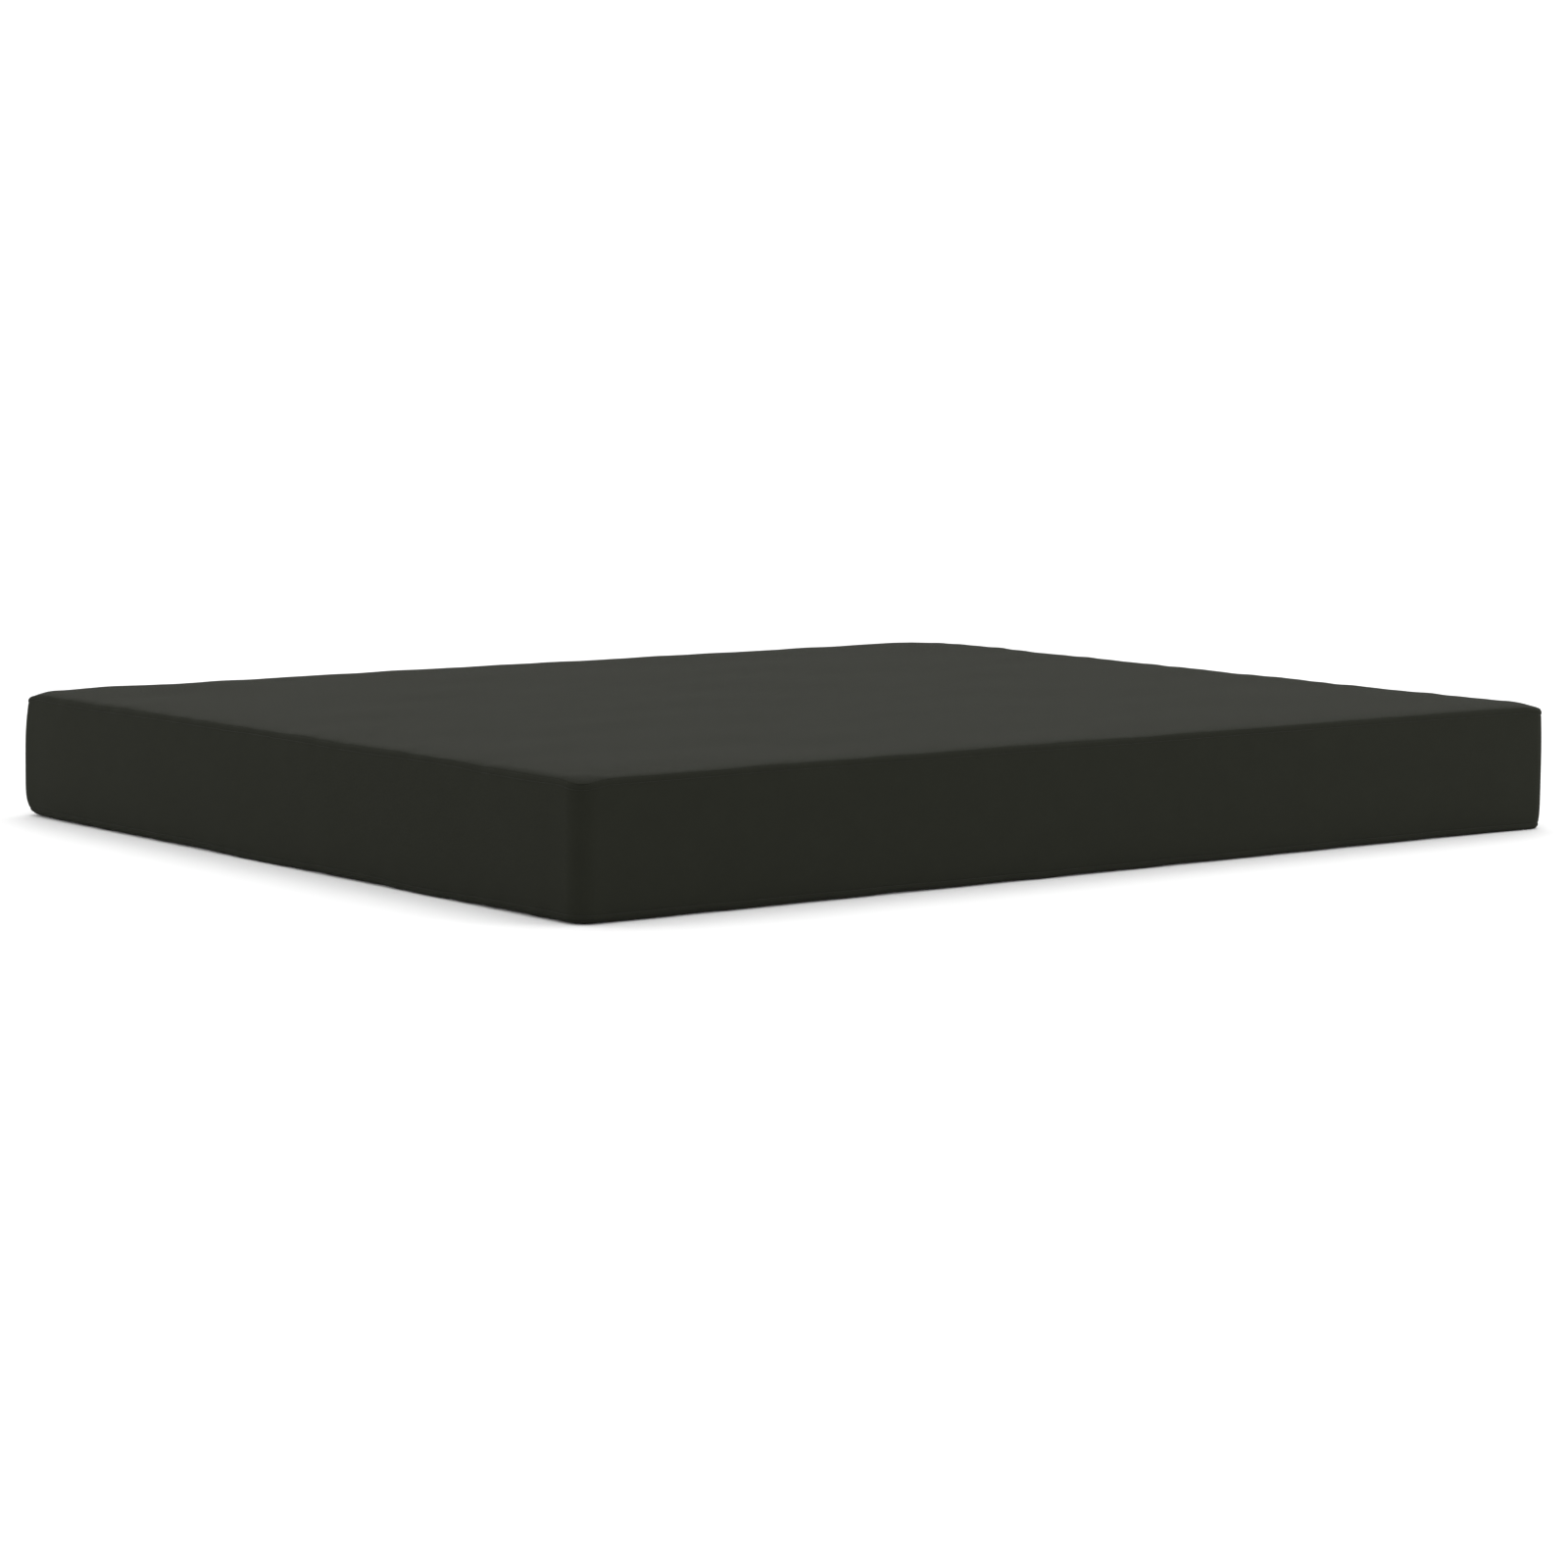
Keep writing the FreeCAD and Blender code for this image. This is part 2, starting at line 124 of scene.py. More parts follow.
# ---------------------------------------------------------------- grids over a box
class Grid:
    """The points on a box's surface, on shared grid lines along X, Y and Z."""

    FACES = {
        "left": (0, 0), "right": (0, -1),
        "front": (1, 0), "back": (1, -1),
        "bottom": (2, 0), "top": (2, -1),
    }
    TURNED = ("left", "back", "bottom")

    def __init__(self, xs, ys, zs):
        self.lines = (xs, ys, zs)
        steps = np.indices((len(xs), len(ys), len(zs)))
        outside = np.zeros(steps.shape[1:], bool)
        for step, line in zip(steps, self.lines):
            outside |= (step == 0) | (step == len(line) - 1)
        self.number = np.full(outside.shape, -1)
        self.number[outside] = np.arange(outside.sum())
        columns = [line[step[outside]] for line, step in zip(self.lines, steps)]
        self.points = np.stack(columns, axis=1)

    def face(self, name):
        """The point numbers on one face, as rows and columns."""
        axis, end = self.FACES[name]
        return np.take(self.number, end, axis=axis)

    def face_lines(self, name):
        """The two sets of grid lines on one face."""
        axis = self.FACES[name][0]
        return [line for other, line in enumerate(self.lines) if other != axis]

    def quads(self, name, rows=slice(None), columns=slice(None)):
        """The quads of one face, or of a block of it, seen from outside."""
        block = self.face(name)[rows, columns]
        block = block.T if name in self.TURNED else block
        corners = [block[:-1, :-1], block[1:, :-1], block[1:, 1:], block[:-1, 1:]]
        return np.stack(corners, axis=-1).reshape(-1, 4)

    def all_quads(self):
        """The quads of the whole closed surface."""
        return np.concatenate([self.quads(name) for name in self.FACES])


def even(low, high, step):
    """Evenly spaced numbers from low to high, at most a step apart."""
    return np.linspace(low, high, max(1, math.ceil((high - low) / step - 1e-9)) + 1)


def lines_between(stops, step):
    """Every stop, with evenly spaced lines between neighbours."""
    stops = np.unique(np.round(stops, 7))
    spans = [even(low, high, step)[:-1] for low, high in zip(stops[:-1], stops[1:])]
    return np.concatenate(spans + [stops[-1:]])


def plan_lines(half, rows, step, crease_step=None):
    """Grid lines across the plan: close rows inside both edges, and across the crease."""
    edge = half - np.append(rows[rows < half], CORNER_RADIUS)
    stops = np.concatenate([-edge, edge])
    if crease_step is None:
        return lines_between(stops, step)
    crease = even(-CREASE_REACH, CREASE_REACH, crease_step)
    return lines_between(np.concatenate([stops, crease]), step)


# ---------------------------------------------------------------- the soft shape
def ease(value, low, high):
    """0 below low, 1 above high, and a smooth rise between."""
    share = np.clip((value - low) / (high - low), 0, 1)
    return share * share * (3 - 2 * share)


def round_corners(points, half_x, half_y, radius):
    """Points of a square-cornered plan, moved onto one whose corners are round."""
    core = np.array([half_x, half_y]) - radius
    sign, reach = np.sign(points[:, :2]), np.abs(points[:, :2])
    past = np.clip((reach - core) / radius, 0, 1)
    bent = past * np.sqrt(1 - past[:, ::-1] ** 2 / 2)
    moved = points.copy()
    moved[:, :2] = sign * (np.minimum(reach, core) + radius * bent)
    return moved


def edge_share(points):
    """1 on the cover's outline in plan, falling to 0 one corner radius inside it."""
    core = np.array([HALF_X, HALF_Y]) - CORNER_RADIUS
    past = np.maximum(np.abs(points[:, :2]) - core, 0)
    return np.clip(np.linalg.norm(past, axis=1) / CORNER_RADIUS, 0, 1)


def from_corner(points):
    """The distance in plan from the nearest corner of the square-cornered outline."""
    return np.hypot(HALF_X - np.abs(points[:, 0]), HALF_Y - np.abs(points[:, 1]))


def slackness(points):
    """How loosely the cover sits: above 1 at the left rear corner, below 1 at the right front."""
    diagonal = (points[:, 1] / HALF_Y - points[:, 0] / HALF_X) / 2
    return 1 + CORNER_SLACK * diagonal * (1 - ease(from_corner(points), 0, SLACK_REACH))


def corner_droop(points):
    """How far the top droops near its corners, most where the cover is slack."""
    near = 1 - ease(from_corner(points), 0, DROOP_REACH)
    return CORNER_DROOP * np.maximum(slackness(points), 1) * near


def roll_inset(z):
    """How far the side draws in at a height, from its widest level to each seam."""
    above = np.clip((z - WIDEST_LEVEL) / (TOP - WIDEST_LEVEL), 0, 1) ** LEAN_POWER
    below = np.clip((WIDEST_LEVEL - z) / WIDEST_LEVEL, 0, 1) ** ROLL_POWER
    return SEAM_INSET_TOP * above + SEAM_INSET_BOTTOM * below


def soften(points):
    """Points in the flat box of the design, moved to where the soft mattress has them."""
    x, y, z = points.T
    wander = 1 + SEAM_WANDER * waves(points, WANDER_LENGTHS, RANDOM_SEED)
    edge = edge_share(points) ** EDGE_POWER * wander
    crown = (1 - (x / HALF_X) ** CROWN_POWER) * (1 - (y / HALF_Y) ** CROWN_POWER)
    slack = slackness(points)
    upper = ease(z, STILL_HIGH, TOP)
    lower = 1 - ease(z, 0, STILL_LOW)
    lift = upper * (CROWN * crown - SEAM_DROP_TOP * edge - corner_droop(points))
    lift += lower * SEAM_RISE_BOTTOM * edge * slack
    inset = roll_inset(z) * slack
    return np.stack([x * (1 - inset / HALF_X), y * (1 - inset / HALF_Y), z + lift], axis=1)


def waves(points, lengths, seed):
    """Smooth irregular ripples over the plan, about 1 high, made of crossing waves."""
    draw = np.random.default_rng(seed)
    total = np.zeros(len(points))
    for length in lengths:
        turn, phase = draw.uniform(0, 2 * math.pi, 2)
        along = points[:, 0] * math.cos(turn) + points[:, 1] * math.sin(turn)
        along = along + WAVE_LEAN * points[:, 2]
        total += np.sin(2 * math.pi * along / length + phase)
    return total / math.sqrt(len(lengths))


# ------------------------------------------------------------ the cover, pushed out by its filling
SIM_FRAMES = 20
SIM_STEP = 26 * MM
SIM_LEVEL_STEP = 20.8 * MM
SIM_ROWS = np.array([0, 14]) * MM
START_RIPPLE = 0.3 * MM
START_RIPPLE_LENGTHS = (0.31, 0.19, 0.13)
SIM_PRESSURE = 0.5
SIM_SPARE_CLOTH = -0.001
FILLING_GRIP = 0.16
FILLING_STIFFNESS = 5
LARGEST_MOVE = 2.5 * MM
LARGEST_DIP = 0.7 * MM
CORNER_HOLD = (40 * MM, 120 * MM)


def coarse_grid():
    """The grid on which the cover is simulated."""
    xs = plan_lines(HALF_X, SIM_ROWS, SIM_STEP)
    ys = plan_lines(HALF_Y, SIM_ROWS, SIM_STEP)
    return Grid(xs, ys, even(0, TOP, SIM_LEVEL_STEP))


def new_object(name, points, faces):
    """A mesh object from an array of points and a list of faces."""
    mesh = bpy.data.meshes.new(name)
    mesh.from_pydata(np.asarray(points).tolist(), [], faces)
    mesh.update()
    made = bpy.data.objects.new(name, mesh)
    bpy.context.scene.collection.objects.link(made)
    return made


def read_points(mesh):
    """A mesh's points as an array."""
    flat = np.zeros(len(mesh.vertices) * 3, np.float32)
    mesh.vertices.foreach_get("co", flat)
    return flat.reshape(-1, 3).astype(float)


def simulated_moves(grid):
    """How far Cloth moves each point of the cover, pushed out by its filling."""
    rest = soften(round_corners(grid.points, HALF_X, HALF_Y, CORNER_RADIUS))
    start = rest.copy()
    ripple = START_RIPPLE * waves(rest, START_RIPPLE_LENGTHS, RANDOM_SEED)
    start[:, 2] += ripple * (rest[:, 2] > TOP / 2)
    cover = new_object("simulated_cover", start, grid.all_quads().tolist())
    grip_cover(cover, at(grid.points[:, 2], 0))
    moves = simulated_points(cover) - rest
    bpy.data.objects.remove(cover)
    return limited(moves, point_normals(rest, grid.all_quads()))


def grip_cover(cover, on_floor):
    """Pin the points on the floor, and let the filling grip the others."""
    grip = cover.vertex_groups.new(name="grip")
    grip.add(np.flatnonzero(on_floor).tolist(), 1.0, "REPLACE")
    grip.add(np.flatnonzero(~on_floor).tolist(), FILLING_GRIP, "REPLACE")


def simulated_points(cover):
    """Where the cover's points come to after the simulation's frames."""
    cloth = cover.modifiers.new("cloth", "CLOTH")
    set_up_cloth(cloth.settings)
    cloth.point_cache.frame_end = SIM_FRAMES
    scene = bpy.context.scene
    for number in range(1, SIM_FRAMES + 1):
        scene.frame_set(number)
    shaped = cover.evaluated_get(bpy.context.evaluated_depsgraph_get())
    points = read_points(shaped.data)
    scene.frame_set(1)
    return points


def limited(moves, normals):
    """Moves of no more than the largest size, and inward only as far as the filling gives."""
    size = np.linalg.norm(moves, axis=1, keepdims=True)
    moves = moves * LARGEST_MOVE * np.tanh(size / LARGEST_MOVE) / np.maximum(size, 1e-9)
    inward = np.minimum(np.sum(moves * normals, axis=1), 0)
    spared = LARGEST_DIP * np.tanh(inward / LARGEST_DIP) - inward
    return moves + normals * spared[:, None]


def set_up_cloth(settings):
    """A firm woven cover, a little too large: pinned where it rests, gripped by the filling."""
    settings.quality = 6
    settings.mass = 0.35
    settings.tension_stiffness = 25
    settings.compression_stiffness = 25
    settings.shear_stiffness = 10
    settings.bending_stiffness = 15
    settings.use_pressure = True
    settings.uniform_pressure_force = SIM_PRESSURE
    settings.shrink_min = SIM_SPARE_CLOTH
    settings.vertex_group_mass = "grip"
    settings.pin_stiffness = FILLING_STIFFNESS
    settings.effector_weights.gravity = 0


def cubic(values, old, new):
    """Values along the first axis, carried smoothly from old grid lines to new ones."""
    slopes = np.gradient(values, old, axis=0)
    before = np.clip(np.searchsorted(old, new, side="right") - 1, 0, len(old) - 2)
    after = before + 1
    span = (old[after] - old[before])[:, None, None]
    share = ((new - old[before])[:, None, None]) / span
    square, cube = share**2, share**3
    return (
        (2 * cube - 3 * square + 1) * values[before]
        + (cube - 2 * square + share) * span * slopes[before]
        + (3 * square - 2 * cube) * values[after]
        + (cube - square) * span * slopes[after]
    )


def carry_moves(moves, coarse, fine):
    """The coarse grid's moves on the fine grid, face by face."""
    carried = np.zeros_like(fine.points)
    for name in Grid.FACES:
        old_rows, old_columns = coarse.face_lines(name)
        new_rows, new_columns = fine.face_lines(name)
        along = cubic(moves[coarse.face(name)], old_rows, new_rows)
        both = cubic(along.transpose(1, 0, 2), old_columns, new_columns)
        carried[fine.face(name)] = both.transpose(1, 0, 2)
    return carried


# ---------------------------------------------------------------- the finished cover surface
SEAM_VALLEY = 1.1 * MM
VALLEY_WIDTH = 1.2 * MM
HEM_RISE = 0.7 * MM
HEM_START = 3 * MM
HEM_END = 2 * MM
STITCH_DIMPLE = 0.6 * MM
DIMPLE_WIDTH = 1.3 * MM
PUCKER = 0.7 * MM
PUCKER_REACH = 20 * MM
PUCKER_LENGTHS = (0.055, 0.079, 0.13, 0.19)
UNDULATION = 0.45 * MM
UNDULATION_LENGTHS = (0.62, 0.41, 0.27, 0.19)
ZIP_CALM = (15 * MM, 60 * MM)
STRIP_END_CALM = 5 * MM


def fine_grid():
    """The grid of the finished cover, with lines at every seam, stitch row and slot edge."""
    xs = plan_lines(HALF_X, PANEL_ROWS, FINE_STEP)
    ys = plan_lines(HALF_Y, PANEL_ROWS, FINE_STEP, CREASE_STEP)
    rows = [BAND_ROWS, TOP - BAND_ROWS, [SLOT_LOW, SLOT_HIGH]]
    for level in STITCH_LEVELS.values():
        rows.append(level + DIMPLE_WIDTH * np.array([-1, 0, 1]))
    zs = lines_between(np.concatenate(rows), FINE_STEP)
    return Grid(xs, ys, zs)


def away_from_zip(points):
    """0 where the rear must stay in line with the zip, rising to 1 away from it."""
    above = ease(np.abs(points[:, 2] - ZIP_LEVEL), *ZIP_CALM)
    past_end = ease(np.abs(points[:, 0]), REAR_REACH - STRIP_END_CALM, HALF_X)
    rear = ease(points[:, 1], HALF_Y - CORNER_RADIUS, HALF_Y)
    return 1 - rear * (1 - np.maximum(above, past_end))


def bell(distance, width):
    """1 at no distance, and near 0 beyond the width."""
    return np.exp(-((distance / width) ** 2))


def seam_relief(points):
    """How far out the cloth stands at its seams, hems, stitch rows and puckers."""
    x, y, z = points.T
    to_edge = np.minimum(HALF_X - np.abs(x), HALF_Y - np.abs(y))
    on_panel = at(z, 0) | at(z, TOP)
    to_seam = np.where(on_panel, to_edge, np.minimum(z, TOP - z))
    drop = STITCH_LEVELS["cover_topstitch_lower"]
    relief = -SEAM_VALLEY * bell(to_seam, VALLEY_WIDTH)
    hem = ease(to_seam, 0, HEM_START) * (1 - ease(to_seam, drop - HEM_END, drop))
    on_band = ~on_panel
    relief += on_band * (HEM_RISE * hem - STITCH_DIMPLE * bell(to_seam - drop, DIMPLE_WIDTH))
    pucker = PUCKER * waves(points, PUCKER_LENGTHS, RANDOM_SEED + 1)
    relief += pucker * np.exp(-to_seam / PUCKER_REACH)
    relief += rear_relief(x, y, z)
    still = np.where(at(z, 0), ease(edge_share(points), 0, 1), 1)
    return (relief + UNDULATION * waves(points, UNDULATION_LENGTHS, RANDOM_SEED + 2)) * still


def rear_relief(x, y, z):
    """The upright seams at the ends of the rear strips, and the dimples of the zip's stitching."""
    rear = at(y, HALF_Y)
    upright = -SEAM_VALLEY * bell(np.abs(x) - REAR_REACH, VALLEY_WIDTH)
    rows = sum(
        -STITCH_DIMPLE / 2 * bell(z - STITCH_LEVELS[name], DIMPLE_WIDTH)
        for name in ("zip_stitch_lower", "zip_stitch_upper")
    )
    return rear * (upright + rows * (np.abs(x) < REAR_REACH))


def cover_surface(grid):
    """The finished points and outward normals of the whole cover."""
    flat = round_corners(grid.points, HALF_X, HALF_Y, CORNER_RADIUS)
    shaped = soften(flat)
    coarse = coarse_grid()
    moves = carry_moves(simulated_moves(coarse), coarse, grid)
    free = away_from_zip(grid.points) * ease(from_corner(grid.points), *CORNER_HOLD)
    shaped = shaped + moves * free[:, None]
    relief = seam_relief(grid.points) * away_from_zip(grid.points)
    normals = point_normals(shaped, grid.all_quads())
    shaped = shaped + normals * relief[:, None]
    shaped[:, 2] = np.maximum(shaped[:, 2], 0)
    return shaped, point_normals(shaped, grid.all_quads())


def point_normals(points, quads):
    """Outward normals at the points of a closed quad mesh."""
    corners = points[quads]
    across = np.cross(corners[:, 2] - corners[:, 0], corners[:, 3] - corners[:, 1])
    normals = np.zeros_like(points)
    for corner in range(4):
        np.add.at(normals, quads[:, corner], across)
    return normals / np.linalg.norm(normals, axis=1, keepdims=True)


# ---------------------------------------------------------------- making pieces
def piece_from(name, points, quads, cloth_points):
    """An object of only the points that its quads use, with its flat cloth coordinates."""
    used, quads = np.unique(quads, return_inverse=True)
    made = new_object(name, points[used], quads.reshape(-1, 4).tolist())
    flat = made.data.attributes.new("cloth", "FLOAT_VECTOR", "POINT")
    flat.data.foreach_set("vector", cloth_points[used].astype(np.float32).ravel())
    made.data.shade_smooth()
    return made


def thicken(piece, thickness):
    """Give a sheet its thickness, inward from the face that shows."""
    solidify = piece.modifiers.new("thickness", "SOLIDIFY")
    solidify.thickness = thickness
    solidify.offset = -1
    apply_modifiers(piece)


def apply_modifiers(piece):
    """Turn a piece's modifiers into its mesh."""
    depsgraph = bpy.context.evaluated_depsgraph_get()
    shown = piece.evaluated_get(depsgraph)
    shaped = bpy.data.meshes.new_from_object(
        shown, preserve_all_data_layers=True, depsgraph=depsgraph)
    old = piece.data
    piece.modifiers.clear()
    piece.data = shaped
    bpy.data.meshes.remove(old)


def stand_for(piece, nodes, slot):
    """The piece shows in place of these CAD nodes, in the finish of their slot."""
    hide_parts(*nodes)
    piece.data.materials.clear()
    piece.data.materials.append(FINISH[slot])


def bend_at_crease(piece):
    """Bake the piece's placement into its mesh."""
    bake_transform(piece)


# ---------------------------------------------------------------- materials
class Finish:
    """A procedural material under construction."""

    def __init__(self, name, roughness, sheen=0.0, metallic=0.0):
        self.material = bpy.data.materials.new(name)
        self.material.use_nodes = True
        self.nodes = self.material.node_tree.nodes
        self.links = self.material.node_tree.links
        self.shader = self.nodes["Principled BSDF"]
        self.set("Roughness", roughness)
        self.set("Metallic", metallic)
        self.set("Sheen Weight", sheen)

    def set(self, socket, value):
        """Set one of the shader's own sockets."""
        self.shader.inputs[socket].default_value = value

    def node(self, kind, inputs=(), **settings):
        """Add a node, with its settings and its inputs as numbers or other nodes' outputs."""
        made = self.nodes.new(kind)
        for name, value in settings.items():
            setattr(made, name, value)
        for socket, value in dict(inputs).items():
            if isinstance(value, bpy.types.NodeSocket):
                self.links.new(value, made.inputs[socket])
            else:
                made.inputs[socket].default_value = value
        return made

    def math(self, operation, first, second=0.0):
        """A Math node's result."""
        return self.node("ShaderNodeMath", {0: first, 1: second}, operation=operation).outputs[0]

    def place(self, attribute=None):
        """Where on the piece: a stored attribute, or the place in the design's own frame."""
        if attribute:
            return self.node("ShaderNodeAttribute", attribute_name=attribute).outputs["Vector"]
        return self.node("ShaderNodeTexCoord").outputs["Object"]

    def noise(self, place, size, detail=3.0, roughness=0.5):
        """Noise whose features are about this size in metres."""
        inputs = {"Vector": place, "Scale": 1 / size, "Detail": detail, "Roughness": roughness}
        return self.node("ShaderNodeTexNoise", inputs).outputs["Fac"]

    def colours(self, factor, dark, light, low=0.3, high=0.7):
        """Colour the piece from dark to light by a factor."""
        ramp = self.node("ShaderNodeValToRGB", {"Fac": factor})
        ends = ramp.color_ramp.elements
        ends[0].position, ends[1].position = low, high
        ends[0].color, ends[1].color = (*dark, 1), (*light, 1)
        self.links.new(ramp.outputs["Color"], self.shader.inputs["Base Color"])

    def bump(self, height, distance, strength=1.0):
        """Raise the surface by a height from 0 to 1, over a distance in metres."""
        inputs = {"Height": height, "Distance": distance, "Strength": strength}
        bump = self.node("ShaderNodeBump", inputs)
        self.links.new(bump.outputs["Normal"], self.shader.inputs["Normal"])

    def vary_roughness(self, factor, low, high):
        """Let the roughness follow a factor."""
        inputs = {"Value": factor, "To Min": low, "To Max": high}
        spread = self.node("ShaderNodeMapRange", inputs)
        self.links.new(spread.outputs["Result"], self.shader.inputs["Roughness"])


def thread_angles(finish, place, pitch):
    """An angle across and one along a weave, each a full turn in every pitch."""
    axes = finish.node("ShaderNodeSeparateXYZ", {"Vector": place})
    turn = 2 * math.pi / pitch
    return [finish.math("MULTIPLY", axes.outputs[name], turn) for name in ("X", "Y")]


def mixed(finish, first, first_share, second, second_share):
    """Two factors added together, each times its share."""
    return finish.math(
        "ADD",
        finish.math("MULTIPLY", first, first_share),
        finish.math("MULTIPLY", second, second_share),
    )


def woven_height(finish, place, pitch):
    """A twill: ribs across the cloth, broken by the weft."""
    across, along = thread_angles(finish, place, pitch)
    rib = finish.math("SINE", finish.math("ADD", across, along))
    weft = finish.math("SINE", finish.math("MULTIPLY", along, 2.0))
    return finish.math("ADD", mixed(finish, rib, 0.35, weft, 0.15), 0.5)


COVER_DARK = (0.0112, 0.0118, 0.0087)
COVER_LIGHT = (0.0140, 0.0148, 0.0109)
WEAVE_PITCH = 1.4 * MM
TAPE_PITCH = 0.9 * MM
TAPE_STRIPE = 1.5 * MM


def cover_finish():
    """Dark charcoal-olive twill with slubs, faint mottling and a soft sheen."""
    finish = Finish("cover_twill", roughness=0.9, sheen=0.01)
    finish.set("Sheen Roughness", 0.25)
    finish.set("Sheen Tint", (0.88, 0.90, 0.68, 1))
    finish.set("Specular IOR Level", 0.08)
    finish.set("Specular Tint", (0.96, 0.98, 0.82, 1))
    place = finish.place("cloth")
    weave = woven_height(finish, place, WEAVE_PITCH)
    stretched = finish.node("ShaderNodeMapping", {"Vector": place, "Scale": (1, 9, 1)})
    slub = finish.noise(stretched.outputs["Vector"], 9 * MM, detail=4)
    mottle = finish.noise(place, 55 * MM, detail=5, roughness=0.6)
    uneven = mixed(finish, slub, 0.45, mottle, 0.4)
    shade = finish.math("ADD", uneven, finish.math("MULTIPLY", weave, 0.15))
    finish.colours(shade, COVER_DARK, COVER_LIGHT, 0.32, 0.68)
    finish.bump(mixed(finish, weave, 0.7, slub, 0.3), 0.25 * MM, 0.6)
    finish.vary_roughness(shade, 0.82, 0.97)
    return finish.material


def thread_finish():
    """Twisted sewing thread, slightly glossier than the cloth."""
    finish = Finish("sewing_thread", roughness=0.6, sheen=0.02)
    finish.set("Specular IOR Level", 0.2)
    place = finish.place()
    twist = finish.noise(place, 0.5 * MM, detail=2)
    finish.colours(twist, (0.0125, 0.0132, 0.0105), (0.024, 0.0251, 0.020))
    finish.bump(twist, 0.08 * MM)
    finish.vary_roughness(twist, 0.5, 0.7)
    return finish.material


def tape_finish():
    """The zip tape: a tight herringbone in near black."""
    finish = Finish("zip_tape", roughness=0.85, sheen=0.01)
    finish.set("Specular IOR Level", 0.12)
    axes = finish.node("ShaderNodeSeparateXYZ", {"Vector": finish.place()})
    turn = 2 * math.pi / TAPE_PITCH
    along = finish.math("MULTIPLY", axes.outputs["X"], turn)
    folded = finish.math("PINGPONG", axes.outputs["Z"], TAPE_STRIPE)
    slant = finish.math("MULTIPLY", folded, turn)
    rib = finish.math("SINE", finish.math("ADD", along, slant))
    height = finish.math("ADD", finish.math("MULTIPLY", rib, 0.5), 0.5)
    finish.colours(height, (0.009, 0.0095, 0.0075), (0.020, 0.0208, 0.0172), 0.1, 0.9)
    finish.bump(height, 0.15 * MM, 0.7)
    return finish.material


def nylon_finish():
    """The zip's nylon coil."""
    finish = Finish("zip_nylon", roughness=0.35)
    scuff = finish.noise(finish.place(), 4 * MM, detail=4)
    finish.colours(scuff, (0.016, 0.0165, 0.015), (0.034, 0.035, 0.031))
    finish.vary_roughness(scuff, 0.28, 0.5)
    finish.bump(scuff, 0.03 * MM)
    return finish.material


def metal_finish():
    """Dark lacquered metal, a little worn along its edges."""
    finish = Finish("zip_metal", roughness=0.4, metallic=0.85)
    place = finish.place()
    grain = finish.noise(place, 0.5 * MM, detail=4)
    edge = finish.node("ShaderNodeNewGeometry").outputs["Pointiness"]
    worn = finish.node("ShaderNodeMapRange", {"Value": edge, "From Min": 0.54, "From Max": 0.66})
    wear = finish.math("MULTIPLY", worn.outputs["Result"], grain)
    finish.colours(wear, (0.050, 0.049, 0.046), (0.24, 0.235, 0.22), 0.05, 0.8)
    finish.vary_roughness(grain, 0.26, 0.36)
    finish.bump(grain, 0.006 * MM)
    return finish.material


def loose_finish(name, dark, light, size, depth):
    """Batting, felt or muslin: fibres at one size over broad mottling."""
    finish = Finish(name, roughness=0.95, sheen=0.1)
    place = finish.place()
    fibres = finish.noise(place, size, detail=6, roughness=0.65)
    clumps = finish.noise(place, size * 12, detail=3)
    shade = mixed(finish, fibres, 0.6, clumps, 0.4)
    finish.colours(shade, dark, light)
    finish.bump(shade, depth)
    return finish.material


def foam_finish():
    """Open-cell foam: pale yellow, with fine pore hollows darkened by painted shade."""
    finish = Finish("foam", roughness=0.9)
    place = finish.place()
    cells = finish.node("ShaderNodeTexVoronoi", {"Vector": place, "Scale": 1 / (1.6 * MM)})
    from_centre = cells.outputs["Distance"]
    spread = finish.node("ShaderNodeMapRange", {"Value": from_centre, "From Max": 0.7})
    pore_dents_and_shade = spread.outputs["Result"]
    # Painted shade: the pore hollows are coloured darker, following the same pattern that dents
    # the surface
    finish.colours(pore_dents_and_shade, (0.36, 0.29, 0.15), (0.54, 0.46, 0.27), 0.0, 0.6)
    finish.bump(pore_dents_and_shade, 0.5 * MM, 0.7)
    return finish.material


def muslin_finish():
    """Unbleached muslin: an open plain weave."""
    finish = Finish("muslin", roughness=0.92, sheen=0.05)
    place = finish.place("cloth")
    across, along = thread_angles(finish, place, 1.1 * MM)
    plain = finish.math("MULTIPLY", finish.math("SINE", across), finish.math("SINE", along))
    height = finish.math("ADD", finish.math("MULTIPLY", plain, 0.5), 0.5)
    flecks = finish.noise(place, 6 * MM, detail=5, roughness=0.7)
    finish.colours(mixed(finish, height, 0.3, flecks, 0.7), (0.30, 0.25, 0.17), (0.46, 0.40, 0.30))
    finish.bump(height, 0.15 * MM, 0.6)
    return finish.material


def label_finish():
    """The blank care label: white satin ribbon."""
    finish = Finish("label_satin", roughness=0.55, sheen=0.05)
    place = finish.place("cloth")
    along = thread_angles(finish, place, 0.7 * MM)[1]
    ribs = finish.math("ADD", finish.math("MULTIPLY", finish.math("SINE", along), 0.5), 0.5)
    shade = mixed(finish, ribs, 0.4, finish.noise(place, 7 * MM), 0.6)
    finish.colours(shade, (0.36, 0.355, 0.33), (0.46, 0.45, 0.42))
    finish.bump(ribs, 0.06 * MM, 0.6)
    return finish.material


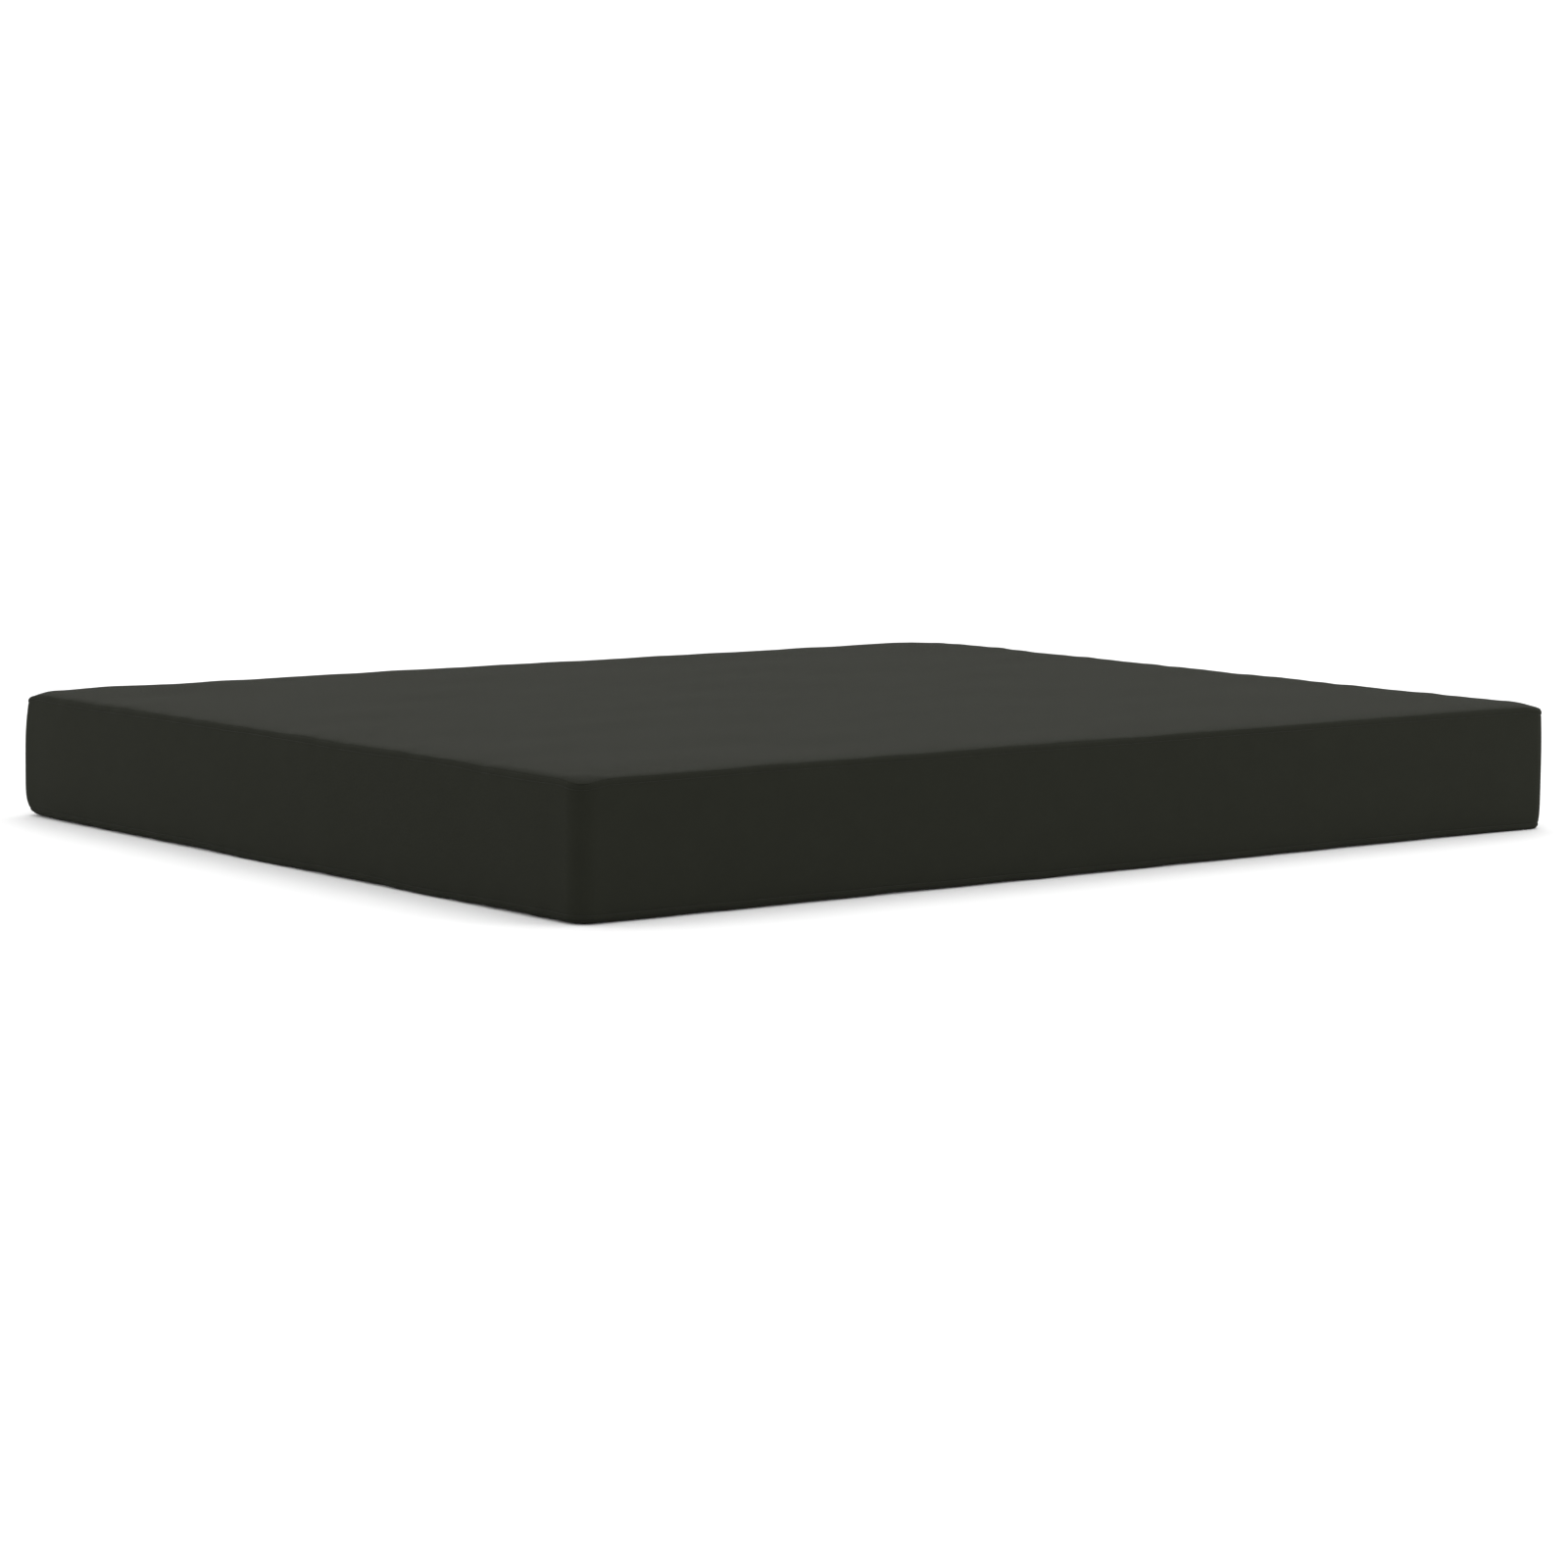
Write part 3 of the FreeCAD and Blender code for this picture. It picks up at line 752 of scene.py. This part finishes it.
FINISH = {
    "cover_cloth": cover_finish(),
    "sewing_thread": thread_finish(),
    "zip_tape": tape_finish(),
    "zip_coil": nylon_finish(),
    "zip_metal": metal_finish(),
    "muslin": muslin_finish(),
    "label_cloth": label_finish(),
    "foam": foam_finish(),
    "cotton_batt": loose_finish(
        "cotton_batt", (0.34, 0.30, 0.23), (0.52, 0.47, 0.38), 1.5 * MM, 0.8 * MM),
    "fibre_batt": loose_finish(
        "fibre_batt", (0.46, 0.46, 0.45), (0.62, 0.62, 0.61), 2.5 * MM, 0.9 * MM),
    "tuft_twine": loose_finish(
        "tuft_twine", (0.27, 0.22, 0.14), (0.45, 0.39, 0.28), 0.6 * MM, 0.3 * MM),
    "tuft_felt": loose_finish(
        "tuft_felt", (0.16, 0.15, 0.135), (0.28, 0.265, 0.24), 0.9 * MM, 0.3 * MM),
}


def band_coordinates(points, half_x, half_y):
    """Flat cloth coordinates on a band: the distance round it from the front, and the height."""
    x, y, z = points.T
    side = np.sign(x) * (half_x + y + half_y)
    rear = 2 * np.sign(x) * (half_x + half_y) - x
    around = np.where(at(np.abs(x), half_x), side, np.where(at(y, half_y), rear, x))
    return np.stack([around, z, 0 * z], axis=1)


def cover_piece(node, shaped, quads, flat):
    """One cloth piece of the cover."""
    piece = piece_from(f"soft_{node}", shaped, quads, flat)
    thicken(piece, CLOTH)
    stand_for(piece, [node], "cover_cloth")
    return piece


def make_cover(grid, shaped):
    """The two panels, the boxing band and the two rear strips."""
    for name, face in (("cover_top_panel", "top"), ("cover_bottom_panel", "bottom")):
        bend_at_crease(cover_piece(name, shaped, grid.quads(face), grid.points))
    flat = band_coordinates(grid.points, HALF_X, HALF_Y)
    left = line_number(grid.lines[0], -REAR_REACH)
    right = line_number(grid.lines[0], REAR_REACH)
    make_band(grid, shaped, flat, left, right)
    make_rear_strips(grid, shaped, flat, slice(left, right + 1))


def line_number(lines, level):
    """Which grid line lies nearest to a level."""
    return int(np.argmin(np.abs(lines - level)))


def outline_length(half_x, half_y, radius):
    """The distance round a rectangle with round corners."""
    return 4 * (half_x + half_y) - (8 - 2 * math.pi) * radius


def make_band(grid, shaped, flat, left, right):
    """The band along the front and both sides, round to the rear's left and right grid lines."""
    quads = np.concatenate([
        grid.quads("front"), grid.quads("left"), grid.quads("right"),
        grid.quads("back", slice(0, left + 1)), grid.quads("back", slice(right, None)),
    ])
    bend_at_crease(cover_piece("cover_boxing_band", shaped, quads, flat))


def make_rear_strips(grid, shaped, flat, columns):
    """The strips below and above the zip's slot."""
    slot_low = line_number(grid.lines[2], SLOT_LOW)
    slot_high = line_number(grid.lines[2], SLOT_HIGH)
    strips = {
        "cover_rear_strip_lower": (slice(0, slot_low + 1), SLOT_LOW),
        "cover_rear_strip_upper": (slice(slot_high, None), TOP - SLOT_HIGH),
    }
    for name, (rows, height) in strips.items():
        quads = grid.quads("back", columns, rows)
        strip = cover_piece(name, shaped, quads, flat)
        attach(strip, "back_half")


# ---------------------------------------------------------------- stitches
STITCH_PITCH = 4.6 * MM
STITCH_LENGTH = 3.7 * MM
STITCH_RADIUS = 0.3 * MM
STITCH_SIDES = 6

# Each ring of a stitch: its place along it, its radius and its height, as shares
STITCH_RINGS = (
    (0.0, 0.25, -0.35),
    (0.2, 0.9, 0.1),
    (0.5, 1.0, 0.3),
    (0.8, 0.9, 0.1),
    (1.0, 0.25, -0.35),
)


def row_round(grid, level):
    """The point numbers round the whole boxing at one grid level, anticlockwise."""
    row = line_number(grid.lines[2], level)
    front, right = grid.face("front")[:, row], grid.face("right")[:, row]
    back, left = grid.face("back")[:, row], grid.face("left")[:, row]
    return np.concatenate([front[:-1], right[:-1], back[:0:-1], left[:0:-1], front[:1]])


def row_of_stitches(name, line, normals):
    """Separate stitches along a line, each a short bent thread with pointed ends."""
    steps = np.linalg.norm(np.diff(line, axis=0), axis=1)
    along = np.concatenate([[0], np.cumsum(steps)])
    count = int(along[-1] / STITCH_PITCH)
    starts = np.arange(count) * along[-1] / count
    rings = np.array(STITCH_RINGS)
    places = (starts[:, None] + rings[None, :, 0] * STITCH_LENGTH).ravel()
    spot = read_along(line, along, places)
    out = read_along(normals, along, places)
    out /= np.linalg.norm(out, axis=1, keepdims=True)
    side = np.cross(out, read_along(line, along, places + MM) - spot)
    side /= np.maximum(np.linalg.norm(side, axis=1, keepdims=True), 1e-9)
    radius = np.tile(rings[:, 1], count)[:, None] * STITCH_RADIUS
    spot = spot + out * (np.tile(rings[:, 2], count)[:, None] * STITCH_RADIUS)
    points = rings_of_points(spot, side, out, radius, STITCH_SIDES)
    row = new_object(name, points, tube_faces(count, len(rings), STITCH_SIDES))
    row.data.shade_smooth()
    return row


def read_along(values, along, places):
    """Rows of three numbers, read between the places where they are known."""
    return np.stack([np.interp(places, along, values[:, axis]) for axis in range(3)], axis=1)


def rings_of_points(line, side, out, radius, sides):
    """A ring of points round each point of a line."""
    angles = np.arange(sides) * 2 * math.pi / sides
    rings = [line + radius * (side * math.cos(angle) + out * math.sin(angle)) for angle in angles]
    return np.stack(rings, axis=1).reshape(-1, 3)


def tube_faces(count, rings, sides):
    """The faces of several capped tubes, whose rings follow one another in the points."""
    faces = []
    for tube in range(count):
        first = tube * rings * sides
        for ring in range(rings - 1):
            low = first + ring * sides
            for side in range(sides):
                after = (side + 1) % sides
                faces.append([low + side, low + side + sides, low + after + sides, low + after])
        last = first + (rings - 1) * sides
        faces.append([first + side for side in range(sides)])
        faces.append([last + side for side in reversed(range(sides))])
    return faces


def make_stitching(grid, shaped, normals):
    """The topstitching round the boxing, and the two rows beside the zip."""
    for name in ("cover_topstitch_lower", "cover_topstitch_upper"):
        numbers = row_round(grid, STITCH_LEVELS[name])
        row = row_of_stitches(f"thread_{name}", shaped[numbers], normals[numbers])
        stand_for(row, [name], "sewing_thread")
        bend_at_crease(row)
    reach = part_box("zip_stitch_upper")[1].x
    for name in ("zip_stitch_lower", "zip_stitch_upper"):
        numbers = grid.face("back")[:, line_number(grid.lines[2], STITCH_LEVELS[name])]
        numbers = numbers[np.abs(shaped[numbers, 0]) <= reach]
        row = row_of_stitches(f"thread_{name}", shaped[numbers], normals[numbers])
        stand_for(row, [name], "sewing_thread")
        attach(row, "back_half")


# ---------------------------------------------------------------- the zip
COIL_PITCH = 1.6 * MM
COIL_WIRE = 0.36 * MM
COIL_STEPS = 10
COIL_SIDES = 5
COIL_MESH = 0.45 * MM


def make_coil(side, phase):
    """One half of the zip's coil, its turns meshing with the other half's."""
    name = f"zip_coil_{side}"
    low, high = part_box(name)
    inner, outer = (low.z, high.z) if side == "upper" else (high.z, low.z)
    inner = ZIP_LEVEL + math.copysign(COIL_MESH, ZIP_LEVEL - inner)
    turns = int((high.x - low.x - 2 * COIL_WIRE) / COIL_PITCH) - 1
    angle = np.arange(turns * COIL_STEPS + 1) * 2 * math.pi / COIL_STEPS
    half_depth = (high.y - low.y) / 2 - COIL_WIRE
    centre_z, half_height = (inner + outer) / 2, abs(outer - inner) / 2 - COIL_WIRE
    x = low.x + COIL_WIRE + (angle / (2 * math.pi) + phase) * COIL_PITCH
    y = (low.y + high.y) / 2 + half_depth * np.sin(angle)
    z = centre_z + half_height * np.cos(angle)
    coil = tube_along(f"wound_{name}", np.stack([x, y, z], axis=1), COIL_WIRE, COIL_SIDES)
    stand_for(coil, [name], "zip_coil")
    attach(coil, "back_half")


def tube_along(name, line, radius, sides):
    """A tube along a line of points, with closed ends."""
    ahead = np.gradient(line, axis=0)
    ahead /= np.linalg.norm(ahead, axis=1, keepdims=True)
    side = np.cross(ahead, np.array([1.0, 0, 0]))
    side /= np.linalg.norm(side, axis=1, keepdims=True)
    points = rings_of_points(line, side, np.cross(side, ahead), radius, sides)
    tube = new_object(name, points, tube_faces(1, len(line), sides))
    tube.data.shade_smooth()
    return tube


def dress_node(node, slot, bevel=None):
    """Give a CAD node its finish, with its sharp edges eased where it is metal."""
    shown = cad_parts[node]
    shown.data.materials.clear()
    shown.data.materials.append(FINISH[slot])
    if bevel:
        eased = shown.modifiers.new("eased_edges", "BEVEL")
        eased.width = bevel
        eased.segments = 3
        eased.limit_method = "ANGLE"


def make_zip():
    """The meshed coils, and the finish of the zip's other pieces."""
    make_coil("upper", 0.0)
    make_coil("lower", 0.5)
    for node in ("zip_tape_upper", "zip_tape_lower", "zip_end_tab_left", "zip_end_tab_right"):
        dress_node(node, "zip_tape")
    for node in ("zip_top_stops", "zip_bottom_stop", "zip_slider", "zip_pull_tab"):
        dress_node(node, "zip_metal", bevel=0.25 * MM)


# ---------------------------------------------------------------- the care label
LABEL_CURL = 2.5 * MM
LABEL_BOW = 0.35
LABEL_TWIST = 0.4
LABEL_STEP = 1.5 * MM
LABEL_HEM = 3 * MM


def make_label():
    """A blank ribbon sewn along its top edge, its free end curling out a little."""
    low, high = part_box("care_label")
    grid = Grid(
        even(low.x, high.x, LABEL_STEP),
        np.array([low.y, high.y]),
        even(low.z, high.z, LABEL_STEP),
    )
    points = grid.points.copy()
    hang = (high.z - points[:, 2]) / (high.z - low.z)
    across = (points[:, 0] - middle("care_label").x) / (high.x - low.x)
    points[:, 1] += LABEL_CURL * hang**2 * (LABEL_BOW + across**2) * (1 + LABEL_TWIST * across)
    label = piece_from("soft_care_label", points, grid.all_quads(), grid.points[:, [0, 2, 1]])
    stand_for(label, ["care_label"], "label_cloth")
    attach(label, "back_half")
    sew_label(low, high)


def sew_label(low, high):
    """The short row of stitches that holds the label by its top edge."""
    along = even(low.x + LABEL_HEM, high.x - LABEL_HEM, STITCH_PITCH)
    line = np.stack([along, 0 * along + high.y, 0 * along + high.z - LABEL_HEM], axis=1)
    outward = np.tile([0.0, 1.0, 0.0], (len(along), 1))
    stitches = row_of_stitches("thread_care_label", line, outward)
    stitches.data.materials.append(FINISH["sewing_thread"])
    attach(stitches, "back_half")


# ---------------------------------------------------------------- inside the cover
INNER_STEP = 25 * MM
INNER_CREASE_STEP = 10 * MM
INNER_ROWS = np.array([0, 2, 6, 14, 28]) * MM
BLOCK_ROUND = 5 * MM
BLOCK_ROWS = np.array([0, 0.3, 1]) * BLOCK_ROUND
PLY_CLEARANCE = 0.15 * MM


def inner_grid(half_x, half_y, rows):
    """A grid over the flat box of a ply that spans both halves."""
    near_x, near_y = half_x - INNER_ROWS, half_y - INNER_ROWS
    crease = even(-CREASE_REACH, CREASE_REACH, INNER_CREASE_STEP)
    xs = lines_between(np.concatenate([-near_x, near_x]), INNER_STEP)
    ys = lines_between(np.concatenate([-near_y, near_y, crease]), INNER_STEP)
    return Grid(xs, ys, lines_between(rows, INNER_STEP))


def plan_radius(half_x):
    """The corner radius of a ply inside the cover."""
    return CORNER_RADIUS - (HALF_X - half_x)


def make_casing():
    """The muslin casing: two panels and a band."""
    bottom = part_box("casing_bottom")[0].z
    under_top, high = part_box("casing_top")
    radius = plan_radius(high.x)
    grid = inner_grid(high.x, high.y, [bottom, high.z])
    shaped = soften(round_corners(grid.points, high.x, high.y, radius))
    panel_size = (2 * high.y, 2 * high.x)
    pieces = {
        "casing_top": (["top"], grid.points, panel_size),
        "casing_bottom": (["bottom"], grid.points, panel_size),
        "casing_band": (
            ["front", "right", "back", "left"],
            band_coordinates(grid.points, high.x, high.y),
            (high.z - bottom, outline_length(high.x, high.y, radius)),
        ),
    }
    for name, (faces, flat, size) in pieces.items():
        quads = np.concatenate([grid.quads(face) for face in faces])
        piece = piece_from(f"soft_{name}", shaped, quads, flat)
        thicken(piece, high.z - under_top.z)
        stand_for(piece, [name], "muslin")
        bend_at_crease(piece)


def make_layer(name, slot):
    """One filling layer, whole across the crease, with soft edges."""
    nodes = [f"seat_{name}", f"back_{name}"]
    low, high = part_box(nodes[0])[0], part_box(nodes[1])[1]
    bottom, top = low.z + PLY_CLEARANCE, high.z - PLY_CLEARANCE
    rows = np.concatenate([bottom + BLOCK_ROWS, top - BLOCK_ROWS])
    grid = inner_grid(high.x, high.y, rows)
    points = round_corners(grid.points, high.x, high.y, plan_radius(high.x))
    points = ease_block(points, grid.points, bottom, top)
    layer = piece_from(name, soften(points), grid.all_quads(), grid.points)
    stand_for(layer, nodes, slot)
    bend_at_crease(layer)


def ease_block(points, square, bottom, top):
    """Draw in the plan near a block's top and bottom, so that its edges are soft."""
    from_face = np.minimum(square[:, 2] - bottom, top - square[:, 2])
    lean = np.clip(1 - from_face / BLOCK_ROUND, 0, 1)
    inset = BLOCK_ROUND * (1 - np.sqrt(1 - lean**2))
    eased = points.copy()
    eased[:, 0] *= 1 - inset / HALF_X
    eased[:, 1] *= 1 - inset / HALF_Y
    return eased


def make_filling():
    """The six layers, and the finish of the tufts through them."""
    slots = {"cotton_batt": "cotton_batt", "fibre_batt": "fibre_batt", "foam_slab": "foam"}
    for kind, slot in slots.items():
        for level in ("lower", "upper"):
            make_layer(f"{kind}_{level}", slot)
    for half in ("seat", "back"):
        dress_node(f"{half}_tuft_twine", "tuft_twine")
        for end in ("lower", "upper"):
            dress_node(f"{half}_tuft_washers_{end}", "tuft_felt")


# ---------------------------------------------------------------- stage, light and camera
CAMERA_AZIMUTH = -38.52
CAMERA_ELEVATION = 6.44
CAMERA_ROLL = 0.5
CAMERA_DISTANCE = 7.353
CAMERA_LENS = 100.8
CAMERA_AIM = (0.0017, -0.0005, 0.0633)
CAMERA_SENSOR = 36
FLOOR_REACH = 60
FLOOR_DARK = (0.89, 0.89, 0.89)
FLOOR_LIGHT = (0.9, 0.9, 0.9)
WORLD_STRENGTH = 1.18

# Each light: where it stands, what it is aimed at, its width and height, and its power
LIGHTS = {
    "overhead": ((0.5, 0.5, 4.5), (0, 0, 0), (5, 5), 70),
    "left_fill": ((-4.6, 2.6, 1.3), (-1.0, 0.0, 0.1), (2.4, 1.6), 45),
    "right_fill": ((3.2, -4.8, 1.3), (0.2, -0.8, 0.1), (2.4, 1.6), 75),
}


def make_floor():
    """A wide pale floor with the faintest unevenness."""
    corners = [(x, y, 0) for x, y in ((-1, -1), (1, -1), (1, 1), (-1, 1))]
    floor = new_object("floor", np.array(corners) * FLOOR_REACH, [[0, 1, 2, 3]])
    finish = Finish("pale_floor", roughness=0.8)
    shade = finish.noise(finish.place(), 0.8, detail=4)
    finish.colours(shade, FLOOR_DARK, FLOOR_LIGHT)
    floor.data.materials.append(finish.material)


def make_world():
    """Even white light from all round."""
    world = bpy.data.worlds.new("studio")
    world.use_nodes = True
    backdrop = world.node_tree.nodes["Background"]
    backdrop.inputs["Color"].default_value = (1, 1, 1, 1)
    backdrop.inputs["Strength"].default_value = WORLD_STRENGTH
    bpy.context.scene.world = world


def area_light(name, place, aim, size, power):
    """A soft rectangular light aimed at a point."""
    data = bpy.data.lights.new(name, "AREA")
    data.shape = "RECTANGLE"
    data.size, data.size_y = size
    data.energy = power
    lamp = bpy.data.objects.new(name, data)
    lamp.location = place
    lamp.rotation_euler = (Vector(aim) - Vector(place)).to_track_quat("-Z", "Y").to_euler()
    bpy.context.scene.collection.objects.link(lamp)


def make_camera():
    """The camera at the product view's angle, aimed at the mattress's middle."""
    data = bpy.data.cameras.new("camera")
    data.lens = CAMERA_LENS
    data.sensor_width = CAMERA_SENSOR
    data.clip_end = 200
    camera = bpy.data.objects.new("camera", data)
    azimuth, elevation = math.radians(CAMERA_AZIMUTH), math.radians(CAMERA_ELEVATION)
    back = Vector((
        math.sin(azimuth) * math.cos(elevation),
        -math.cos(azimuth) * math.cos(elevation),
        math.sin(elevation),
    ))
    camera.location = Vector(CAMERA_AIM) + back * CAMERA_DISTANCE
    camera.rotation_mode = "QUATERNION"
    camera.rotation_quaternion = (-back).to_track_quat("-Z", "Y") @ Quaternion(
        (0, 0, 1), math.radians(CAMERA_ROLL))
    bpy.context.scene.collection.objects.link(camera)
    bpy.context.scene.camera = camera


def make_stage():
    """Floor, light and camera."""
    make_floor()
    make_world()
    for name, (place, aim, size, power) in LIGHTS.items():
        area_light(name, place, aim, size, power)
    make_camera()
    bpy.context.scene.view_settings.view_transform = "Standard"


make_stage()
cover_grid = fine_grid()
cover_points, cover_normals = cover_surface(cover_grid)
make_cover(cover_grid, cover_points)
make_stitching(cover_grid, cover_points, cover_normals)
make_zip()
make_label()
make_casing()
make_filling()
